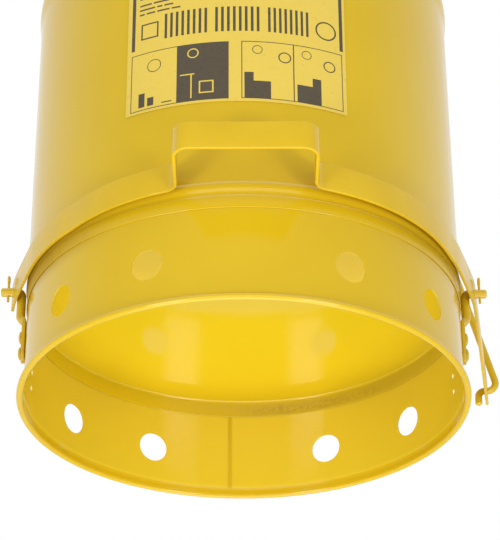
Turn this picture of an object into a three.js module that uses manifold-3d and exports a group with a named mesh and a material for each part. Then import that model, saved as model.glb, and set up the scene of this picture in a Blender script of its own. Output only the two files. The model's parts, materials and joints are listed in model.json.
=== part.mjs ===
// Foot-operated oily waste can: a round sheet steel can on a vented base ring, with a hinged lid
// that a foot lever opens through a push rod. Millimetres, +Z up.
// While it is being built the can's axis is x = y = 0, the floor is z = 0 and the lever's tab is at -Y.
// The last lines move the whole can so that the origin is at the middle of its box, on the floor.
import * as THREE from 'three';
import { mergeVertices } from 'three/addons/utils/BufferGeometryUtils.js';
import Module from 'manifold-3d';

const wasm = await Module();
wasm.setup();

// ---------- Driving dimensions ----------

const GAP = 0.3; // between pieces that touch on the real can
const ROUND_STEPS = 48; // facets round the can

const CAN_RADIUS = 198; // outside of the can's wall
const CAN_WALL = 0.7;
const CAN_BOTTOM = 89.5; // lower edge of the can's wall
const CURL_RADIUS = 2.6; // rolled top edge
const CURL_CENTRE_Z = 487;
const LOWER_BEAD = { z: 104.5, height: 10.5, depth: 1 };
const UPPER_BEAD = { z: 394, height: 36, depth: 1.7 };

const RING_WALL = 0.8;
const RING_RADIUS = CAN_RADIUS - CAN_WALL - GAP; // outside of the base ring's wall
const RING_TOP = 99.5;
const RIM_RADIUS = 200; // to the middle of the rolled foot rim
const RIM_TUBE = 3;
const PATTERN_TURN = 1.43; // degrees that the ring's holes are turned from the can's front, towards +X
const VENT_RADIUS = 14.3;
const VENT_Z = 43.9;
const VENT_ANGLES = [25.5, 54.2, 125.8, 154.5]; // degrees to each side of the front
const SMALL_HOLE_RADIUS = 2.7;
const SMALL_HOLE_ANGLE = 99.9;
const SMALL_HOLE_HEIGHTS = [34.9, 50.7];

const PAN_RADIUS = RING_RADIUS - RING_WALL - GAP; // outside of the bottom pan's flange
const PAN_THICKNESS = 0.8;
const PAN_Z = 102.5; // underside of the pan's disc
const PAN_FLANGE_BOTTOM = 86;

const LABEL = { left: -31, right: 27.1, bottom: 194, top: 372.5, thickness: 0.4, lift: 0.5 };

const PIVOT = { y: -3.6, z: 115.5 }; // middle of the line that the foot lever turns about
const PIVOT_SKEW = 2.8; // the left stud stands this far in front of the middle, the right one behind
const pivotY = (side) => PIVOT.y + side * PIVOT_SKEW;
const STUD_RADIUS = 4.15;
const STUD_LEG_X = 203.4;
const STUD_LEG_Z = 87; // the leg's round part ends here
const STUD_END_X = 223;
const STUD_TAIL = { width: 15.5, thickness: 4, bottom: 43, top: 88 };
const STUD_RIVET_HEIGHTS = { upper: 68, lower: 52 };
const STUD_RIVET = { shank: 2.5, head: 6, height: 2.5 };
const SMALL_RIVET = { shank: 2, head: 4.6, height: 2.2 };
const COTTER_X = 216.5;
const COTTER_WIRE = 1.15; // radius of a split pin's two legs together
const COTTER_EYE = { radius: 3.4, wire: 1.1, height: 13 };
const COTTER_LEGS = [-9.9, 10.2];
const CLEARANCE = { stud: 0.4, rod: 0.6, drill: 9 }; // the lever's holes round the studs and the rod

const STRIP = 2.9; // thickness of the foot lever's steel strip
const STRIP_BOTTOM = 103.5;
const STRIP_HEIGHT = 25.4;
const SIDE_SHIFT = 0.6; // the lever and the studs' ends are this far to the right of the can's middle
const TAB = { y: -265.1, corner: 13, fillet: 13 };
const ARM_X = 211.2; // middle of the strip at the pivot
const ARM_SPLAY = 8.8; // degrees that the arms spread behind the pivot
const ARM_BEND = 16; // a bend starts and ends this far from its middle
const CLOSE_RADIUS = 202.3; // the strip's middle comes no nearer to the can's axis than this
const CLOSE_EASE = 3; // degrees over which the strip turns from its arc into the close one
// The strip is bent a little differently on each side: half of the tab, the arc round the can, and the
// arm's bend and end.
const LEVER_SIDES = {
  right: { tabHalf: 60.4, arcY: -18.6, arcRadius: 195, bendY: -3, armEndY: 206 },
  left: { tabHalf: 57.4, arcY: -22.5, arcRadius: 187.8, bendY: -7, armEndY: 8 },
};

const ROD_RADIUS = 3.5;
const ROD_FOOT = { x: 257.2, y: 199, z: PIVOT.z };
const ROD_HOOK = { x: 235, drop: 15 }; // the hooked end hangs inside the lever's arm
const ROD_TOP_X = 158;
const ROD_BENDS = [7, 9, 6]; // where each bend starts before its corner
const LID_PIVOT = { y: 212, z: 474 };
const LUG_ARM = 42.2; // from the lid's pivot to the rod's top
const LUG_DROP = 36; // degrees that the rod's top lies below the lid's pivot

const LID = { skirt: 202.9, wall: 0.8, top: 490, bottom: 476, flat: 168, dome: 158, height: 514, crown: 14 };
const HEM = { low: 477.5, high: 479, bulge: 1.4, top: 480.5 }; // rolled lower edge of the lid's skirt
const HINGE_PLATE = 2.4;
const HINGE_PIN_RADIUS = 3;

const CLOSED_END = { spread: 1.9, height: 1.6 }; // a rivet's hammered end

// ---------- Shapes and solids ----------

const rad = THREE.MathUtils.degToRad;
const point = (x, y) => new THREE.Vector2(x, y);

// A solid from a surface, with its shared corners merged and its faces pointing out.
function solid(geometry) {
  const bare = geometry.clone();
  bare.deleteAttribute('normal');
  bare.deleteAttribute('uv');
  const merged = mergeVertices(bare, 1e-3);
  const corners = merged.index.array;
  const kept = [];
  for (let i = 0; i < corners.length; i += 3) {
    const [a, b, c] = corners.subarray(i, i + 3);
    if (a !== b && b !== c && c !== a) kept.push(a, b, c);
  }
  const vertProperties = merged.attributes.position.array;
  const make = (order) =>
    new wasm.Manifold(new wasm.Mesh({ numProp: 3, vertProperties, triVerts: new Uint32Array(order) }));
  const made = make(kept);
  return made.volume() < 0 ? make(kept.reverse()) : made;
}

function geometryOf(manifold) {
  const mesh = manifold.getMesh();
  const geometry = new THREE.BufferGeometry();
  geometry.setAttribute('position', new THREE.BufferAttribute(mesh.vertProperties, 3));
  geometry.setIndex(new THREE.BufferAttribute(mesh.triVerts, 1));
  return geometry;
}

const joined = (parts) => parts.reduce((all, next) => all.add(next));
const cut = (base, tools) => tools.reduce((left, tool) => left.subtract(tool), base);

// A closed profile of (radius, height) points turned about Z. Angle 0 is at -Y.
function turned(profile, steps = ROUND_STEPS) {
  const closed = [...profile, profile[0]];
  return solid(new THREE.LatheGeometry(closed, steps).rotateX(Math.PI / 2));
}

function block(x, y, z) {
  const box = new THREE.BoxGeometry(x[1] - x[0], y[1] - y[0], z[1] - z[0]);
  return solid(box.translate((x[0] + x[1]) / 2, (y[0] + y[1]) / 2, (z[0] + z[1]) / 2));
}

function barX(radius, x, y, z, sides = 24) {
  const bar = new THREE.CylinderGeometry(radius, radius, x[1] - x[0], sides).rotateZ(Math.PI / 2);
  return solid(bar.translate((x[0] + x[1]) / 2, y, z));
}

function barZ(radius, x, y, z, sides = 16) {
  const bar = new THREE.CylinderGeometry(radius, radius, z[1] - z[0], sides).rotateX(Math.PI / 2);
  return solid(bar.translate(x, y, (z[0] + z[1]) / 2));
}

// A plate that stands in the YZ plane: its outline's first coordinate is Y and its second is Z.
function sidePlate(outline, xLow, thickness) {
  const options = { depth: thickness, bevelEnabled: false, curveSegments: 10 };
  const plate = new THREE.ExtrudeGeometry(outline, options);
  plate.applyMatrix4(new THREE.Matrix4().set(0, 0, 1, xLow, 1, 0, 0, 0, 0, 1, 0, 0, 0, 0, 0, 1));
  return solid(plate);
}

function arcPoints(x, y, radius, from, to, steps) {
  const at = (i) => rad(from + ((to - from) * i) / steps);
  const row = (_, i) => point(x + radius * Math.cos(at(i)), y + radius * Math.sin(at(i)));
  return Array.from({ length: steps + 1 }, row);
}

// A run of wire through the given points, one step for each point.
class WireRun extends THREE.Curve {
  constructor(points) {
    super();
    this.points = points;
  }
  getUtoTmapping(u) {
    return u;
  }
  getPoint(t) {
    const place = THREE.MathUtils.clamp(t, 0, 1) * (this.points.length - 1);
    const start = Math.min(Math.floor(place), this.points.length - 2);
    return this.points[start].clone().lerp(this.points[start + 1], place - start);
  }
}

// A round wire through corner points, bent at each inner corner; a bend starts this far before its corner.
function bentWire(corners, bends, radius, sides = 12, bendSteps = 5) {
  const run = [corners[0]];
  for (let i = 1; i < corners.length - 1; i += 1) {
    const corner = corners[i];
    const into = corners[i - 1].clone().sub(corner).setLength(bends[i - 1]).add(corner);
    const out = corners[i + 1].clone().sub(corner).setLength(bends[i - 1]).add(corner);
    run.push(...new THREE.QuadraticBezierCurve3(into, corner, out).getPoints(bendSteps));
  }
  run.push(corners.at(-1));
  const section = new THREE.Shape(arcPoints(0, 0, radius, 0, 360 - 360 / sides, sides - 1));
  const options = { steps: run.length - 1, extrudePath: new WireRun(run), bevelEnabled: false };
  return solid(new THREE.ExtrudeGeometry(section, options));
}

// A rivet along Z: its domed head stands on z = 0 and its closed end is below z = -grip.
function rivet(grip, size) {
  const dome = arcPoints(0, 0, 1, 0, 90, 3).map((p) => point(p.x * size.head, p.y * size.height));
  const tail = size.shank + CLOSED_END.spread;
  const tip = -grip - CLOSED_END.height;
  const closed = [point(0, tip), point(tail - 0.8, tip), point(tail, -grip)];
  return turned([...closed, point(size.shank, -grip), point(size.shank, 0), ...dome], 12);
}

// A split pin through a cross hole: its legs run down and its eye stands on top, in the YZ plane.
function cotter() {
  const eye = new THREE.TorusGeometry(COTTER_EYE.radius, COTTER_EYE.wire, 6, 12);
  const upright = solid(eye.rotateY(Math.PI / 2).translate(0, 0, COTTER_EYE.height));
  return joined([barZ(COTTER_WIRE, 0, 0, COTTER_LEGS, 8), upright]);
}

// ---------- Can, bottom pan and base ring ----------

function beadPoints(bead, power, steps) {
  const at = (i) => Math.sin((Math.PI * i) / steps) ** power;
  const row = (_, i) => point(CAN_RADIUS + bead.depth * at(i), bead.z + (bead.height * i) / steps);
  return Array.from({ length: steps + 1 }, row);
}

function bodyShell() {
  const curlCentre = CAN_RADIUS + 1.6;
  const wallAngle = (r) => THREE.MathUtils.radToDeg(Math.acos((r - curlCentre) / CURL_RADIUS));
  const outside = [
    point(CAN_RADIUS, CAN_BOTTOM),
    point(CAN_RADIUS, LOWER_BEAD.z - 4),
    point(CAN_RADIUS - 0.6, LOWER_BEAD.z - 2),
    ...beadPoints(LOWER_BEAD, 1, 4),
    ...beadPoints(UPPER_BEAD, 2, 4),
  ];
  const inside = outside.map((p) => point(p.x - CAN_WALL, p.y)).reverse();
  const outer = wallAngle(CAN_RADIUS);
  const inner = wallAngle(CAN_RADIUS - CAN_WALL);
  const curl = arcPoints(curlCentre, CURL_CENTRE_Z, CURL_RADIUS, -outer, inner, 6);
  return turned([...outside, ...curl, ...inside]);
}

function bottomPan() {
  const inside = PAN_RADIUS - PAN_THICKNESS;
  const top = PAN_Z + PAN_THICKNESS;
  const rows = [
    [0, PAN_Z], [inside - 1.2, PAN_Z], [inside, PAN_Z - 1.2], [inside, PAN_FLANGE_BOTTOM],
    [PAN_RADIUS, PAN_FLANGE_BOTTOM], [PAN_RADIUS, top - 1.2], [PAN_RADIUS - 1.2, top], [0, top],
  ];
  return turned(rows.map(([r, z]) => point(r, z)));
}

function radialHole(radius, angle, z, sides) {
  const across = rad(angle + PATTERN_TURN);
  const bar = new THREE.CylinderGeometry(radius, radius, 12, sides).translate(0, -RING_RADIUS, 0);
  return solid(bar.rotateZ(across).translate(0, 0, z));
}

function baseRing() {
  const inner = RING_RADIUS - RING_WALL;
  const rimZ = RIM_TUBE * Math.cos(rad(15));
  const rim = arcPoints(RIM_RADIUS, rimZ, RIM_TUBE, 225, 495, 9);
  const ring = turned([
    point(inner, RING_TOP), point(inner, rimZ), ...rim, point(RING_RADIUS, 6.5), point(RING_RADIUS, RING_TOP),
  ]);
  const holes = [];
  for (const side of [-1, 1]) {
    VENT_ANGLES.forEach((angle) => holes.push(radialHole(VENT_RADIUS, side * angle, VENT_Z, 20)));
    const small = side * SMALL_HOLE_ANGLE;
    SMALL_HOLE_HEIGHTS.forEach((z) => holes.push(radialHole(SMALL_HOLE_RADIUS, small, z, 8)));
    for (const z of Object.values(STUD_RIVET_HEIGHTS)) {
      const reach = [side * RING_RADIUS - 5, side * RING_RADIUS + 5];
      holes.push(barX(STUD_RIVET.shank + GAP, reach, pivotY(side), z, 12));
    }
  }
  return cut(ring, holes);
}

function labelFilm() {
  const inner = CAN_RADIUS + LABEL.lift;
  const from = rad(LABEL.left - 90);
  const to = rad(LABEL.right - 90);
  const outline = new THREE.Shape();
  outline.absarc(0, 0, inner + LABEL.thickness, from, to, false);
  outline.absarc(0, 0, inner, to, from, true);
  const depth = LABEL.top - LABEL.bottom;
  const film = new THREE.ExtrudeGeometry(outline, { depth, bevelEnabled: false, curveSegments: 16 });
  return solid(film.translate(0, 0, LABEL.bottom));
}

// ---------- Pivot studs ----------

// A round bar bent into an L. Its level end is the lever's pivot; its leg ends in a flat riveted tail.
function pivotStud(side) {
  const y = pivotY(side);
  const at = (x, z) => new THREE.Vector3(x, y, z);
  const legX = side * STUD_LEG_X;
  const endX = side * STUD_END_X + SIDE_SHIFT;
  const route = [at(legX, STUD_LEG_Z), at(legX, PIVOT.z), at(endX, PIVOT.z)];
  const bar = bentWire(route, [5], STUD_RADIUS);
  const ball = new THREE.SphereGeometry(STUD_RADIUS, 12, 8);
  const end = solid(ball.translate(legX, y, STUD_LEG_Z));
  const half = STUD_TAIL.width / 2;
  const tail = new THREE.Shape();
  tail.moveTo(y + half, STUD_TAIL.top);
  tail.lineTo(y - half, STUD_TAIL.top);
  tail.lineTo(y - half, STUD_TAIL.bottom + half);
  tail.absarc(y, STUD_TAIL.bottom + half, half, Math.PI, 2 * Math.PI, false);
  const near = RING_RADIUS + GAP;
  const plate = sidePlate(tail, side > 0 ? near : -near - STUD_TAIL.thickness, STUD_TAIL.thickness);
  const holes = Object.values(STUD_RIVET_HEIGHTS).map((z) =>
    barX(STUD_RIVET.shank + GAP, [side * near - 6, side * near + 6], y, z, 12));
  const cross = barZ(COTTER_WIRE + GAP, side * COTTER_X + SIDE_SHIFT, y, [PIVOT.z - 6, PIVOT.z + 6], 8);
  return cut(joined([bar, end, plate]), [...holes, cross]);
}

// ---------- Foot lever ----------

// The middle of the strip behind its bend.
const armX = (y, bendY) => ARM_X + (y - bendY) * Math.tan(rad(ARM_SPLAY));

// Half of the strip's middle line, from the front of the tab to the end of the arm on the +X side.
// It follows its arc until it comes close to the can, goes round close to it, then runs to its bend.
function leverHalf({ tabHalf, arcY, arcRadius, bendY, armEndY }) {
  const filletX = tabHalf + TAB.fillet;
  const filletY = arcY - Math.sqrt((arcRadius + TAB.fillet) ** 2 - filletX ** 2);
  const bend = point(ARM_X, bendY);
  const tangent = (y, radius) =>
    Math.atan2(bend.y - y, bend.x) - Math.acos(radius / Math.hypot(bend.x, bend.y - y));
  const onCircle = (y, radius, angle) => point(radius * Math.cos(angle), y + radius * Math.sin(angle));
  const meet = Math.asin((CLOSE_RADIUS ** 2 - arcRadius ** 2 - arcY ** 2) / (2 * arcY * arcRadius));
  const closeUp = meet < tangent(arcY, arcRadius);
  const ease = rad(CLOSE_EASE);
  const arcEnd = closeUp ? meet - ease : tangent(arcY, arcRadius);
  const line = new THREE.Path();
  line.moveTo(0, TAB.y);
  line.lineTo(tabHalf - TAB.corner, TAB.y);
  line.absarc(tabHalf - TAB.corner, TAB.y + TAB.corner, TAB.corner, -Math.PI / 2, 0, false);
  line.lineTo(tabHalf, filletY);
  line.absarc(filletX, filletY, TAB.fillet, Math.PI, Math.atan2(arcY - filletY, -filletX), true);
  line.absarc(0, arcY, arcRadius, Math.atan2(filletY - arcY, filletX), arcEnd, false);
  let left = onCircle(arcY, arcRadius, arcEnd);
  if (closeUp) {
    const corner = onCircle(arcY, arcRadius, meet);
    const closeStart = Math.atan2(corner.y, corner.x) + ease;
    const closeEnd = tangent(0, CLOSE_RADIUS);
    const start = onCircle(0, CLOSE_RADIUS, closeStart);
    line.quadraticCurveTo(corner.x, corner.y, start.x, start.y);
    line.absarc(0, 0, CLOSE_RADIUS, closeStart, closeEnd, false);
    left = onCircle(0, CLOSE_RADIUS, closeEnd);
  }
  const ahead = left.clone().sub(bend).setLength(ARM_BEND).add(bend);
  const bendEndY = Math.min(bend.y + ARM_BEND, armEndY);
  line.lineTo(ahead.x, ahead.y);
  line.quadraticCurveTo(bend.x, bend.y, armX(bendEndY, bendY), bendEndY);
  if (armEndY > bendEndY) line.lineTo(armX(armEndY, bendY), armEndY);
  const points = line.getPoints(8);
  return points.filter((p, i) => i === 0 || p.distanceTo(points[i - 1]) > 0.05);
}

function footLever() {
  const right = leverHalf(LEVER_SIDES.right);
  const left = leverHalf(LEVER_SIDES.left).map((p) => point(-p.x, p.y));
  const middle = [...left.reverse(), ...right.slice(1)];
  const offset = (distance) => middle.map((p, i) => {
    const before = middle[Math.max(i - 1, 0)];
    const after = middle[Math.min(i + 1, middle.length - 1)];
    const along = after.clone().sub(before).normalize();
    return point(p.x + along.y * distance, p.y - along.x * distance);
  });
  const outline = new THREE.Shape([...offset(STRIP / 2), ...offset(-STRIP / 2).reverse()]);
  const strip = new THREE.ExtrudeGeometry(outline, { depth: STRIP_HEIGHT, bevelEnabled: false });
  const around = (x) => [x - CLEARANCE.drill, x + CLEARANCE.drill];
  const rodX = armX(ROD_FOOT.y, LEVER_SIDES.right.bendY);
  const holes = [
    barX(STUD_RADIUS + CLEARANCE.stud, around(-ARM_X), pivotY(-1), PIVOT.z, 20),
    barX(STUD_RADIUS + CLEARANCE.stud, around(ARM_X), pivotY(1), PIVOT.z, 20),
    barX(ROD_RADIUS + CLEARANCE.rod, around(rodX), ROD_FOOT.y, ROD_FOOT.z, 16),
  ];
  return cut(solid(strip.translate(0, 0, STRIP_BOTTOM)), holes).translate([SIDE_SHIFT, 0, 0]);
}

// ---------- Push rod ----------

const ROD_TOP_Y = LID_PIVOT.y - LUG_ARM * Math.cos(rad(LUG_DROP));
const ROD_TOP_Z = LID_PIVOT.z - LUG_ARM * Math.sin(rad(LUG_DROP));
const ROD_COTTER_X = ROD_TOP_X - 21;
const ROD_END_X = ROD_COTTER_X - 5;

function pushRod() {
  const corners = [
    [ROD_HOOK.x, ROD_FOOT.y, ROD_FOOT.z - ROD_HOOK.drop],
    [ROD_HOOK.x, ROD_FOOT.y, ROD_FOOT.z],
    [ROD_FOOT.x, ROD_FOOT.y, ROD_FOOT.z],
    [ROD_TOP_X, ROD_TOP_Y, ROD_TOP_Z],
    [ROD_END_X, ROD_TOP_Y, ROD_TOP_Z],
  ];
  const wire = bentWire(corners.map((c) => new THREE.Vector3(...c)), ROD_BENDS, ROD_RADIUS);
  return cut(wire, [barZ(COTTER_WIRE + GAP, ROD_COTTER_X, ROD_TOP_Y, [ROD_TOP_Z - 6, ROD_TOP_Z + 6], 8)]);
}

// ---------- Lid ----------

function lidShell() {
  const outer = LID.skirt + LID.wall;
  const shoulder = 3;
  const flatTop = LID.top + LID.wall;
  const dome = [0, 0.35, 0.7, 1].map((part) => point(LID.dome * part, LID.height - LID.crown * part ** 2));
  const edge = LID.height - LID.crown;
  const step = [point(LID.dome + 4, edge - 2.5), point(LID.flat - 3.5, edge - 6.5)];
  const under = [...dome, ...step].map((p) => point(p.x, p.y - LID.wall));
  const shoulderX = outer - shoulder;
  const shoulderZ = flatTop - shoulder;
  return turned([
    ...dome, ...step, point(LID.flat, flatTop),
    ...arcPoints(shoulderX, shoulderZ, shoulder, 90, 0, 3),
    point(outer, HEM.top), point(outer + HEM.bulge, HEM.high), point(outer + HEM.bulge, HEM.low),
    point(outer, LID.bottom), point(LID.skirt, LID.bottom),
    ...arcPoints(shoulderX, shoulderZ, shoulder - LID.wall, 0, 90, 3),
    point(LID.flat - 0.3, LID.top), ...under.reverse(),
  ]);
}

const STRAP_BOTTOM = LID.top + LID.wall + GAP;
const STRAP_HALF = 27; // half of the lid strap's width
const STRAP_RIVETS = [-14, 14];
const STRAP_RIVET_Y = 184;
const STRAP_FRONT_Y = 172;
const EAR = { front: 206.4, back: 213, end: 5.6 }; // the strap's ears: edges along Y and end radius

// A plate riveted to the lid's flat edge, with two ears that hang down behind the can to the pin.
function lidStrap() {
  const top = STRAP_BOTTOM + HINGE_PLATE;
  const ear = new THREE.Shape();
  ear.moveTo(EAR.front, top);
  ear.lineTo(EAR.front, LID_PIVOT.z);
  ear.absarc(LID_PIVOT.y, LID_PIVOT.z, EAR.end, Math.PI, 2 * Math.PI, false);
  ear.lineTo(EAR.back, top - 6);
  ear.lineTo(EAR.back, top);
  const plate = block([-STRAP_HALF, STRAP_HALF], [STRAP_FRONT_Y, EAR.back], [STRAP_BOTTOM, top]);
  const ears = [-STRAP_HALF, STRAP_HALF - HINGE_PLATE].map((x) => sidePlate(ear, x, HINGE_PLATE));
  const pinHole = barX(HINGE_PIN_RADIUS + GAP, [-40, 40], LID_PIVOT.y, LID_PIVOT.z, 16);
  const through = [STRAP_BOTTOM - 5, top + 5];
  const holes = STRAP_RIVETS.map((x) => barZ(SMALL_RIVET.shank + GAP, x, STRAP_RIVET_Y, through, 12));
  return cut(joined([plate, ...ears]), [pinHole, ...holes]);
}

const LUG_X = 145;
const LUG_PLATE = 3;
const LUG_FOOT = { left: 116, front: 122, back: 134 };
const LUG_RIVETS = [[122, 128], [135, 128]];
const LUG_EYE = 12.4; // outer radius of the lug round its clearance hole
const LUG_TOP = 502;
const SLACK = { y: 2.8, z: 2.1, radius: 7.5 }; // the lug's clearance hole, from the rod's rest place

// A bracket riveted to the lid's flat edge; its web reaches over the skirt and down to the push rod.
function lidLug() {
  const holeY = ROD_TOP_Y + SLACK.y;
  const holeZ = ROD_TOP_Z + SLACK.z;
  const web = new THREE.Shape();
  web.moveTo(LUG_FOOT.front, STRAP_BOTTOM);
  web.lineTo(152, STRAP_BOTTOM);
  web.lineTo(156, STRAP_BOTTOM - 6);
  web.lineTo(holeY - LUG_EYE, holeZ);
  web.absarc(holeY, holeZ, LUG_EYE, Math.PI, 2.25 * Math.PI, false);
  web.lineTo(166, LUG_TOP - 6);
  web.lineTo(156, LUG_TOP);
  web.lineTo(LUG_FOOT.front + 10, LUG_TOP);
  web.lineTo(LUG_FOOT.front, LUG_TOP - 6);
  const footTop = STRAP_BOTTOM + HINGE_PLATE;
  const footX = [LUG_FOOT.left, LUG_X + LUG_PLATE];
  const foot = block(footX, [LUG_FOOT.front, LUG_FOOT.back], [STRAP_BOTTOM, footTop]);
  const slack = barX(SLACK.radius, [LUG_X - 5, LUG_X + 8], holeY, holeZ, 20);
  const through = [STRAP_BOTTOM - 5, footTop + 5];
  const holes = LUG_RIVETS.map(([x, y]) => barZ(SMALL_RIVET.shank + GAP, x, y, through, 12));
  return cut(joined([sidePlate(web, LUG_X, LUG_PLATE), foot]), [slack, ...holes]);
}

// The rivets' holes through the lid's flat edge.
function lidHoles() {
  const places = [...STRAP_RIVETS.map((x) => [x, STRAP_RIVET_Y]), ...LUG_RIVETS];
  const through = [LID.top - 4, LID.top + 4];
  return places.map(([x, y]) => barZ(SMALL_RIVET.shank + GAP, x, y, through, 12));
}

// ---------- Hinge bracket ----------

const EAR_X = STRAP_HALF + 0.6; // inner face of the bracket's ears
const BRACKET_RIVETS = [-12, 12];
const BRACKET_RIVET_HEIGHTS = { upper: 458, lower: 440 };
const BRACKET_Y = CAN_RADIUS + 1; // the back plate's face towards the can
const BRACKET = { bottom: 430, backTop: 466, earY: 206.6, earTop: 482 };
const STOP = { y: 229.7, bottom: 474, top: 492 }; // the open lid's strap rests on this bridge

// A back plate riveted to the can, two ears that hold the hinge pin, and a bridge that stops the lid.
function hingeBracket() {
  const ear = new THREE.Shape();
  const stopBack = STOP.y + HINGE_PLATE;
  ear.moveTo(BRACKET_Y, BRACKET.bottom);
  ear.lineTo(BRACKET_Y + 4, BRACKET.bottom);
  ear.lineTo(stopBack, STOP.bottom - 6);
  ear.lineTo(stopBack, STOP.top);
  ear.lineTo(STOP.y, STOP.top);
  ear.lineTo(LID_PIVOT.y + 6, BRACKET.earTop);
  ear.lineTo(BRACKET.earY, BRACKET.earTop);
  ear.lineTo(BRACKET.earY, BRACKET.backTop + 4);
  ear.lineTo(BRACKET_Y, BRACKET.backTop);
  const width = EAR_X + HINGE_PLATE;
  const ears = [EAR_X, -width].map((x) => sidePlate(ear, x, HINGE_PLATE));
  const backY = [BRACKET_Y, BRACKET_Y + HINGE_PLATE];
  const back = block([-width, width], backY, [BRACKET.bottom, BRACKET.backTop]);
  const bridge = block([-width, width], [STOP.y, stopBack], [STOP.bottom, STOP.top]);
  const pinHole = barX(HINGE_PIN_RADIUS + GAP, [-40, 40], LID_PIVOT.y, LID_PIVOT.z, 16);
  return cut(joined([back, bridge, ...ears]), [pinHole, ...bracketHoles()]);
}

function bracketHoles() {
  const holes = [];
  for (const z of Object.values(BRACKET_RIVET_HEIGHTS)) {
    for (const x of BRACKET_RIVETS) {
      const radius = SMALL_RIVET.shank + GAP;
      holes.push(solid(new THREE.CylinderGeometry(radius, radius, 20, 12).translate(x, CAN_RADIUS, z)));
    }
  }
  return holes;
}

const PIN_HALF = EAR_X + HINGE_PLATE + 2;
const PIN_COTTER_X = PIN_HALF + 3;
const PIN_HEAD = { rim: 2, height: 3 };

function hingePin() {
  const shank = barX(HINGE_PIN_RADIUS, [-PIN_HALF - 1, PIN_HALF + 7], 0, 0, 16);
  const head = barX(HINGE_PIN_RADIUS + PIN_HEAD.rim, [-PIN_HALF - PIN_HEAD.height, -PIN_HALF], 0, 0, 16);
  const crossBar = new THREE.CylinderGeometry(COTTER_WIRE + GAP, COTTER_WIRE + GAP, 12, 8);
  const cross = solid(crossBar.translate(PIN_COTTER_X, 0, 0));
  return cut(joined([shank, head]), [cross]).translate([0, LID_PIVOT.y, LID_PIVOT.z]);
}

// ---------- Assembly ----------

const YELLOW = 0xe2b828;
const paint = new THREE.MeshStandardMaterial({ color: YELLOW, roughness: 0.28, metalness: 0 });
const hardwarePaint = new THREE.MeshStandardMaterial({ color: 0xe4bf33, roughness: 0.36, metalness: 0 });
const film = new THREE.MeshStandardMaterial({ color: 0xe8cd5a, roughness: 0.45, metalness: 0 });
const steel = new THREE.MeshStandardMaterial({ color: 0x9a9b96, roughness: 0.4, metalness: 0.9 });

const can = new THREE.Group();

function place(name, manifold, material, parent = can) {
  const mesh = new THREE.Mesh(geometryOf(manifold), material);
  mesh.name = name;
  parent.add(mesh);
  return mesh;
}

place('body_shell', cut(bodyShell(), bracketHoles()), paint);
place('bottom_pan', bottomPan(), paint);
place('base_ring', baseRing(), paint);
place('label_film', labelFilm(), film);
place('foot_lever', footLever(), hardwarePaint);
place('push_rod', pushRod(), hardwarePaint);
place('lid_shell', cut(lidShell(), lidHoles()), paint);
place('lid_strap', lidStrap(), hardwarePaint);
place('lid_lug', lidLug(), hardwarePaint);
place('hinge_bracket', hingeBracket(), hardwarePaint);
place('hinge_pin', hingePin(), steel);

for (const [sideName, side] of [['left', -1], ['right', 1]]) {
  place(`pivot_stud_${sideName}`, pivotStud(side), hardwarePaint);
  const key = place(`pivot_cotter_${sideName}`, cotter(), hardwarePaint);
  key.position.set(side * COTTER_X + SIDE_SHIFT, pivotY(side), PIVOT.z);
  for (const [level, z] of Object.entries(STUD_RIVET_HEIGHTS)) {
    const face = RING_RADIUS + GAP + STUD_TAIL.thickness + GAP;
    const grip = face - (RING_RADIUS - RING_WALL) + 1;
    const mesh = place(`stud_rivet_${sideName}_${level}`, rivet(grip, STUD_RIVET), hardwarePaint);
    mesh.rotation.y = (side * Math.PI) / 2;
    mesh.position.set(side * face, pivotY(side), z);
  }
}

const rodCotter = place('rod_cotter', cotter(), steel);
rodCotter.position.set(ROD_COTTER_X, ROD_TOP_Y, ROD_TOP_Z);

const pinCotter = place('hinge_pin_cotter', cotter(), steel);
pinCotter.position.set(PIN_COTTER_X, LID_PIVOT.y, LID_PIVOT.z);
pinCotter.rotation.x = -Math.PI / 2;

const lidGrip = HINGE_PLATE + LID.wall + 3 * GAP;
const lidRivetZ = STRAP_BOTTOM + HINGE_PLATE + GAP;
const lidRivets = [
  ['strap_rivet_left', STRAP_RIVETS[0], STRAP_RIVET_Y],
  ['strap_rivet_right', STRAP_RIVETS[1], STRAP_RIVET_Y],
  ['lug_rivet_inner', ...LUG_RIVETS[0]],
  ['lug_rivet_outer', ...LUG_RIVETS[1]],
];
for (const [name, x, y] of lidRivets) {
  place(name, rivet(lidGrip, SMALL_RIVET), hardwarePaint).position.set(x, y, lidRivetZ);
}

for (const [level, z] of Object.entries(BRACKET_RIVET_HEIGHTS)) {
  BRACKET_RIVETS.forEach((x, i) => {
    const face = BRACKET_Y + HINGE_PLATE + GAP;
    const wallY = Math.sqrt((CAN_RADIUS - CAN_WALL) ** 2 - (Math.abs(x) + 5) ** 2);
    const sideName = i ? 'right' : 'left';
    const made = rivet(face - wallY + 2 * GAP, SMALL_RIVET);
    const mesh = place(`bracket_rivet_${sideName}_${level}`, made, hardwarePaint);
    mesh.rotation.x = -Math.PI / 2;
    mesh.position.set(x, face, z);
  });
}

const box = new THREE.Box3().setFromObject(can, true);
const middle = box.getCenter(new THREE.Vector3());
can.position.set(-middle.x, -middle.y, -box.min.z);

export default can;
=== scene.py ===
"""Looks for the foot-operated oily waste can: fine meshes, paint, label print, light and camera.

Lengths are in metres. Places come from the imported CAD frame, its node boxes and its joints, and what
the frame doesn't say is a named dimension.
"""

import json
from math import acos, asin, atan2, copysign, cos, degrees, hypot, pi, radians, sin, sqrt, tan

import bpy
from mathutils import Matrix, Vector


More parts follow.
